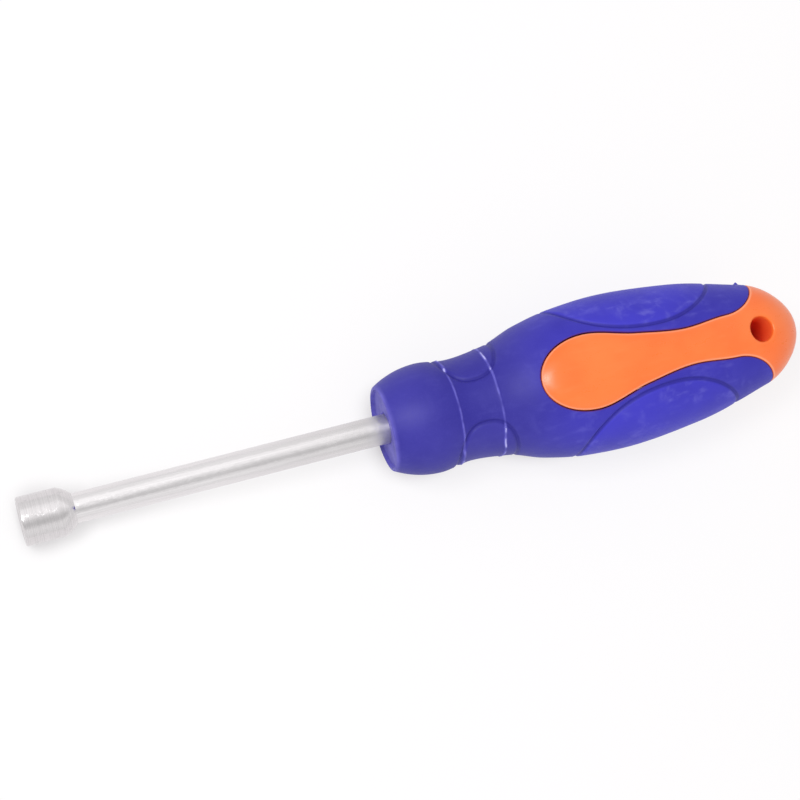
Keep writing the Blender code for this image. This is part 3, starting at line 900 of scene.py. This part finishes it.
class Coat:
    """A material in the making: its shader, and short ways to add the nodes that feed it."""

    def __init__(self, name):
        self.material = bpy.data.materials.new(name)
        self.material.use_nodes = True
        self.tree = self.material.node_tree
        self.shader = self.tree.nodes["Principled BSDF"]

    def feed(self, socket, value):
        """Link a node's output to the socket, or set the socket to a plain value."""
        if isinstance(value, bpy.types.NodeSocket):
            self.tree.links.new(value, socket)
        else:
            socket.default_value = value

    def node(self, kind, inputs, **settings):
        made = self.tree.nodes.new("ShaderNode" + kind)
        for name, value in settings.items():
            setattr(made, name, value)
        for key, value in inputs.items():
            self.feed(made.inputs[key], value)
        return made

    def shade(self, **inputs):
        """Feed the shader's own sockets, named in lower case with _ for a space."""
        for name, value in inputs.items():
            socket = next(s for s in self.shader.inputs if s.name.lower().replace(" ", "_") == name)
            self.feed(socket, value)

    def mask(self, name):
        return self.node("Attribute", {}, attribute_name=name).outputs["Fac"]

    def place(self):
        """The surface point in the tool's own axes."""
        return self.node("Attribute", {}, attribute_name="tool_place").outputs["Vector"]

    def cloud(self, size, seed, detail=3.0, stretch=(1.0, 1.0, 1.0)):
        """Random values round 0.5 in soft patches of a size, stretched along the tool's axes."""
        scale = [1 / (size * share) for share in stretch]
        shift = [seed * step for step in SEED_SHIFT]
        moved = self.node("Mapping", {"Vector": self.place(), "Location": shift, "Scale": scale})
        inputs = {"Vector": moved.outputs["Vector"], "Scale": 1.0, "Detail": detail}
        return self.node("TexNoise", inputs).outputs["Fac"]

    def step(self, value, low, high, at_low=0.0, at_high=1.0):
        """Smooth step from at_low to at_high as the value goes from low to high."""
        inputs = {"Value": value, "From Min": low, "From Max": high, "To Min": at_low, "To Max": at_high}
        return self.node("MapRange", inputs, interpolation_type="SMOOTHSTEP").outputs["Result"]

    def math(self, operation, first, second):
        return self.node("Math", {0: first, 1: second}, operation=operation).outputs["Value"]

    def times(self, first, second):
        return self.math("MULTIPLY", first, second)

    def mix(self, share, first, second):
        """Colour that goes from first to second as the share goes from 0 to 1."""
        inputs = {0: share, 6: first, 7: second}
        return self.node("Mix", inputs, data_type="RGBA").outputs[2]

    def tint(self, share, red, green, blue):
        """Take the tone so far towards a colour, by the share."""
        self.tone = self.mix(share, self.tone, colour(red, green, blue))

    def bump(self, height, distance, over=None):
        inputs = {"Height": height, "Distance": distance}
        if over:
            inputs["Normal"] = over
        return self.node("Bump", inputs).outputs["Normal"]


def colour(red, green, blue):
    return (red, green, blue, 1.0)


def blue_rubber():
    """Matte moulded rubber: cloudy blue, made lighter by painted light towards the rear, on the side pads and
    on the front face, with painted shade in the neck and grooves, pale flash, and pale rubbed marks that also
    carry painted sheen.
    """
    coat = Coat("blue_rubber_skin")
    cloudy = coat.cloud(0.013, 1)
    grain = coat.cloud(0.00035, 2, detail=2.0)
    streaks = coat.cloud(0.0021, 3, detail=4.0, stretch=(1.9, 0.8, 1.2))
    smears = coat.cloud(0.0030, 7, detail=4.0, stretch=(0.9, 2.2, 1.0))
    patches = coat.cloud(0.008, 4)
    along = coat.node("SeparateXYZ", {"Vector": coat.place()}).outputs["X"]
    # Random cloudy tone, with painted light making it lighter and bluer from the throat back to the chest
    rearward = coat.step(along, THROAT_AT, CHEST_AT)
    clouds = coat.step(cloudy, 0.3, 0.7)
    front = coat.mix(clouds, colour(0.026, 0.020, 0.27), colour(0.036, 0.029, 0.31))
    painted_light_rear = coat.mix(clouds, colour(0.028, 0.021, 0.365), colour(0.038, 0.030, 0.42))
    coat.tone = coat.mix(rearward, front, painted_light_rear)
    pad = coat.mask("pad")
    # Painted shade: the narrow neck is darker, less so on its pads
    before = coat.step(along, COLLAR_AT, NECK_AT)
    behind = coat.step(along, NECK_AT, SHOULDER_AT, 1.0, 0.0)
    painted_neck_shade = coat.times(coat.times(before, behind), coat.step(pad, 0.0, 1.0, 0.6, 0.0))
    coat.tint(painted_neck_shade, 0.018, 0.013, 0.25)
    side_pad = coat.times(pad, rearward)
    # Painted light: the side pads are patchily lighter and bluer
    coat.tint(coat.times(side_pad, coat.step(cloudy, 0.2, 0.8, 0.4, 1.0)), 0.043, 0.035, 0.52)
    coat.tint(coat.step(grain, 0.45, 0.8, 0.0, 0.14), 0.085, 0.075, 0.46)
    # Pale rubbed marks: real wear that also carries painted sheen, strongest on the side pads and towards the
    # rear
    marks = coat.math("MAXIMUM", coat.step(streaks, 0.46, 0.78), coat.step(smears, 0.50, 0.80))
    worn_and_sheen = coat.times(marks, coat.step(patches, 0.36, 0.62))
    rubbed_and_sheen = coat.times(worn_and_sheen, coat.step(side_pad, 0.0, 1.0, 0.24, 0.48))
    rubbed_and_sheen = coat.times(rubbed_and_sheen, coat.step(rearward, 0.0, 1.0, 0.3, 1.0))
    coat.tint(rubbed_and_sheen, 0.17, 0.16, 0.62)
    # Painted light: the front face is lighter and greyer-violet
    coat.tint(coat.times(coat.mask("face"), 0.7), 0.15, 0.13, 0.54)
    # Painted shade: darker blue in the grooves round the pads
    coat.tint(coat.step(coat.mask("groove"), 0.05, 0.9, 0.0, 0.7), 0.014, 0.009, 0.22)
    coat.tint(coat.step(coat.mask("seam"), 0.1, 0.9, 0.0, 0.85), 0.085, 0.012, 0.15)
    ragged = coat.step(coat.cloud(0.0016, 5), 0.32, 0.62, 0.6, 1.0)
    flash = coat.mask("flash")
    coat.tint(coat.times(coat.step(flash, 0.1, 0.9, 0.0, 0.75), ragged), 0.15, 0.135, 0.60)
    coat.tint(coat.times(coat.step(flash, 0.95, 1.6), ragged), 0.46, 0.44, 0.86)
    matte = coat.step(coat.math("ADD", grain, rubbed_and_sheen), 0.35, 0.9, 0.5, 0.66)
    fine = coat.bump(grain, 0.000018)
    normal = coat.bump(coat.cloud(0.0022, 6), 0.00004, fine)
    coat.shade(base_color=coat.tone, roughness=matte, normal=normal, specular_ior_level=0.32)
    return coat.material


def orange_plastic():
    """Satin moulded plastic: faint flow marks, a painted highlight on the lip by the seam, painted shade in
    the seam, and deep red painted inside the hole for light that bounces and scatters there.
    """
    coat = Coat("orange_plastic_skin")
    cloudy = coat.cloud(0.014, 11)
    flow = coat.cloud(0.0016, 12, detail=4.0, stretch=(5.0, 1.0, 1.0))
    grain = coat.cloud(0.0003, 13, detail=2.0)
    painted_hole_red = coat.mask("painted_hole_red")
    clouds = coat.step(cloudy, 0.3, 0.7)
    coat.tone = coat.mix(clouds, colour(0.955, 0.165, 0.024), colour(0.97, 0.20, 0.036))
    coat.tint(coat.step(flow, 0.5, 0.85, 0.0, 0.25), 0.975, 0.26, 0.075)
    # Painted highlight along the lip beside the seam
    coat.tint(coat.step(coat.mask("lip"), 0.1, 1.0, 0.0, 0.7), 0.98, 0.40, 0.22)
    # Painted shade: darker red in the seam beside the blue
    coat.tint(coat.step(coat.mask("groove"), 0.2, 1.0, 0.0, 0.75), 0.36, 0.03, 0.06)
    # Painted light: the hole's wall turns deep red with depth
    coat.tint(painted_hole_red, 0.99, 0.075, 0.005)
    satin = coat.step(coat.math("ADD", grain, flow), 0.7, 1.3, 0.27, 0.37)
    satin = coat.math("MAXIMUM", satin, coat.step(painted_hole_red, 0.0, 0.25, 0.0, 0.95))
    scratches = coat.cloud(0.00016, 14, detail=1.0, stretch=(30.0, 1.0, 1.0))
    fine = coat.bump(grain, 0.000008)
    fine = coat.bump(coat.step(scratches, 0.68, 0.8), 0.000006, fine)
    normal = coat.bump(coat.cloud(0.005, 15), 0.00005, fine)
    coat.shade(base_color=coat.tone, roughness=satin, normal=normal)
    return coat.material


def drawn_chrome():
    """Plated bar: fine drawing lines, a slightly uneven surface, and duller towards the collar, where painted
    shade also darkens it.
    """
    coat = Coat("shank_chrome_wear")
    lines = coat.cloud(0.00018, 21, detail=2.0, stretch=(90.0, 1.0, 1.0))
    uneven = coat.cloud(0.0010, 22, stretch=(1.4, 1.0, 1.0))
    specks = coat.step(coat.cloud(0.0007, 23), 0.70, 0.78)
    drawn = coat.step(lines, 0.3, 0.7)
    coat.tone = coat.mix(drawn, colour(0.735, 0.712, 0.72), colour(0.80, 0.775, 0.784))
    coat.tint(coat.times(specks, 0.35), 0.42, 0.42, 0.43)
    along = coat.node("SeparateXYZ", {"Vector": coat.place()}).outputs["X"]
    # Painted shade: the metal darkens towards the collar, gently and then faster
    coat.tint(coat.step(along, SHANK_DULLS_AND_SHADES_AT, SHANK_DULL_AND_SHADED_AT, 0.0, 0.2), 0.43, 0.415, 0.42)
    coat.tint(coat.step(along, SHANK_DULL_AND_SHADED_AT, 0.0, 0.0, 0.32), 0.42, 0.41, 0.43)
    dull = coat.math("ADD", coat.step(uneven, 0.3, 0.7, 0.13, 0.2), coat.times(specks, 0.15))
    dull = coat.math("ADD", dull, coat.step(along, SHANK_DULLS_AND_SHADES_AT, SHANK_DULL_AND_SHADED_AT, 0.0, 0.08))
    dull = coat.math("MAXIMUM", dull, coat.step(along, SHANK_DULL_AND_SHADED_AT, 0.0, 0.0, 0.42))
    fine = coat.bump(lines, 0.000003)
    normal = coat.bump(uneven, 0.00006, fine)
    coat.shade(base_color=coat.tone, roughness=dull, normal=normal, metallic=1.0)
    return coat.material


def turned_chrome():
    """Plated socket: turning lines round it, soft unevenness and dull handling marks."""
    coat = Coat("socket_chrome_wear")
    lines = coat.cloud(0.00016, 31, detail=2.0, stretch=(1.0, 60.0, 60.0))
    uneven = coat.cloud(0.0026, 32)
    marks = coat.step(coat.cloud(0.0012, 33, detail=5.0), 0.58, 0.72)
    turned = coat.step(lines, 0.3, 0.7)
    coat.tone = coat.mix(turned, colour(0.635, 0.612, 0.62), colour(0.715, 0.69, 0.698))
    coat.tint(coat.times(marks, 0.3), 0.46, 0.455, 0.46)
    dull = coat.math("ADD", coat.step(uneven, 0.3, 0.7, 0.14, 0.2), coat.times(marks, 0.12))
    fine = coat.bump(lines, 0.0000025)
    normal = coat.bump(uneven, 0.00007, fine)
    coat.shade(base_color=coat.tone, roughness=dull, normal=normal, metallic=1.0)
    return coat.material


# Camera, in the tool's own axes: where it stands, what the middle of its picture looks at, and how
# the tool slopes in that picture
CAMERA_PLACE = (-0.0998, -0.03599, 0.46813)
CAMERA_AIM = (0.005238, 0.005664, 0.0)
TOOL_SLOPE = math.radians(14.21)
LENS = 92.88
SENSOR = 36.0

# Floor: half its side, how far it lies below the part, its tones with a painted shadow near the tool and that
# shadow's reach, and the share of its own glow
FLOOR_REACH = 1.5
FLOOR_DROP = 0.00003
FLOOR_TONE = (0.93, 0.93, 0.94, 1.0)
OPEN_TONE = (1.0, 0.985, 0.99, 1.0)
PAINTED_SHADOW_TONE = (0.66, 0.64, 0.65, 1.0)
CONTACT_REACH = 0.007
FLOOR_GLOW = 0.8

# Room: its even light, which leans to one side, and what is seen of it directly or in the metal.
# Each strip overhead has the slopes Y over Z where it begins and where it ends, and its change of tone
ROOM_LIGHT = 0.70
ROOM_LEAN = 0.3
BACKDROP_TONE = 0.955
HORIZON_TONE = 0.93
HORIZON_BAND = (0.0, 0.5)
STRIP_BAND = (0.2, 0.5)
LEAST_HEIGHT = 0.05
DARK_STRIP = ((-1.25, -0.50), (-0.45, 0.15), -0.30)
PALE_STRIP = ((0.10, 0.45), (0.80, 1.60), 0.22)

# Soft box
KEY_PLACE = (-0.38, 0.14, 0.72)
KEY_SIZE = 0.26
KEY_POWER = 3.6


def make_camera():
    """Camera that sees the tool as the photo does."""
    place = TOOL @ Vector(CAMERA_PLACE)
    forward = (TOOL @ Vector(CAMERA_AIM) - place).normalized()
    along = TOOL.col[0].to_3d()
    level = (along - forward * along.dot(forward)).normalized()
    square = level.cross(forward)
    right = math.cos(TOOL_SLOPE) * level - math.sin(TOOL_SLOPE) * square
    up = right.cross(forward)
    data = bpy.data.cameras.new("camera")
    data.sensor_width = SENSOR
    data.lens = LENS
    made = placed("camera", data)
    made.matrix_world = Matrix.Translation(place) @ Matrix((right, up, -forward)).transposed().to_4x4()
    bpy.context.scene.camera = made


def make_floor():
    """Plain pale floor that shows near white, keeps a soft share of its shadows, and has a painted shadow in
    its glow close to the tool.
    """
    mesh = bpy.data.meshes.new("floor")
    square = ((-1, -1), (1, -1), (1, 1), (-1, 1))
    mesh.from_pydata([(FLOOR_REACH * x, FLOOR_REACH * y, -FLOOR_DROP) for x, y in square], [], [(0, 1, 2, 3)])
    made = placed("floor", mesh)
    coat = Coat("pale_floor")
    coat.shade(base_color=FLOOR_TONE, roughness=0.9, specular_ior_level=0.0)
    # Painted shadow: the glow darkens towards the shadow tone where the tool lies close over the floor
    open_share = coat.node("AmbientOcclusion", {"Distance": CONTACT_REACH}).outputs["AO"]
    tone = coat.mix(coat.step(open_share, 0.3, 0.95), PAINTED_SHADOW_TONE, OPEN_TONE)
    glow = coat.node("Emission", {"Color": tone, "Strength": 1.0})
    share = coat.times(seen_directly(coat), FLOOR_GLOW)
    both = coat.node("MixShader", {0: share, 1: coat.shader.outputs[0], 2: glow.outputs[0]})
    coat.feed(coat.tree.nodes["Material Output"].inputs["Surface"], both.outputs[0])
    mesh.materials.append(coat.material)


def seen_directly(coat):
    """1 for what the camera sees, straight or mirrored, and 0 for light that spreads."""
    path = coat.node("LightPath", {})
    seen = coat.math("MAXIMUM", path.outputs["Is Camera Ray"], path.outputs["Is Glossy Ray"])
    return coat.math("MAXIMUM", seen, path.outputs["Is Transmission Ray"])


class Surroundings(Coat):
    """The studio's world, made with the same short ways to add nodes."""

    def __init__(self):
        world = bpy.data.worlds.new("studio")
        world.use_nodes = True
        bpy.context.scene.world = world
        self.tree = world.node_tree
        self.shader = self.tree.nodes["Background"]


def make_world():
    """White room: even light, and in the metal a dimmer horizon and a pale and a dark strip overhead."""
    studio = Surroundings()
    way = studio.node("TexCoord", {}).outputs["Generated"]
    axes = studio.node("SeparateXYZ", {"Vector": way})
    height = axes.outputs["Z"]
    slope = studio.math("DIVIDE", axes.outputs["Y"], studio.math("MAXIMUM", height, LEAST_HEIGHT))
    room = studio.step(height, *HORIZON_BAND, HORIZON_TONE, 1.0)
    for near, far, change in (DARK_STRIP, PALE_STRIP):
        strip = studio.times(studio.step(slope, *near), studio.step(slope, *far, 1.0, 0.0))
        strip = studio.times(strip, studio.step(height, *STRIP_BAND, 0.0, change))
        room = studio.times(room, studio.math("ADD", strip, 1.0))
    straight = studio.node("LightPath", {}).outputs["Is Camera Ray"]
    backdrop = studio.times(straight, BACKDROP_TONE)
    reflected = studio.times(room, studio.math("SUBTRACT", 1.0, straight))
    room = studio.math("ADD", backdrop, reflected)
    seen = seen_directly(studio)
    lean = studio.math("SUBTRACT", 1.0, studio.times(axes.outputs["Y"], ROOM_LEAN))
    unseen = studio.math("SUBTRACT", 1.0, seen)
    spread = studio.times(unseen, studio.times(lean, ROOM_LIGHT))
    strength = studio.math("ADD", spread, studio.times(seen, room))
    studio.shade(color=colour(1.0, 1.0, 1.0), strength=strength)


def make_key():
    """Soft box beyond the socket, which lights the front of the handle and the hole's wall."""
    data = bpy.data.lights.new("key", "AREA")
    data.shape = "SQUARE"
    data.size = KEY_SIZE
    data.energy = KEY_POWER
    made = placed("key", data)
    made.location = KEY_PLACE
    made.rotation_mode = "QUATERNION"
    made.rotation_quaternion = (-Vector(KEY_PLACE)).to_track_quat("-Z", "X")


handle = Handle()
make_grip(handle)
make_core(handle)
make_shank()
make_socket()
make_floor()
make_world()
make_key()
make_camera()
bpy.context.scene.view_settings.view_transform = "Standard"
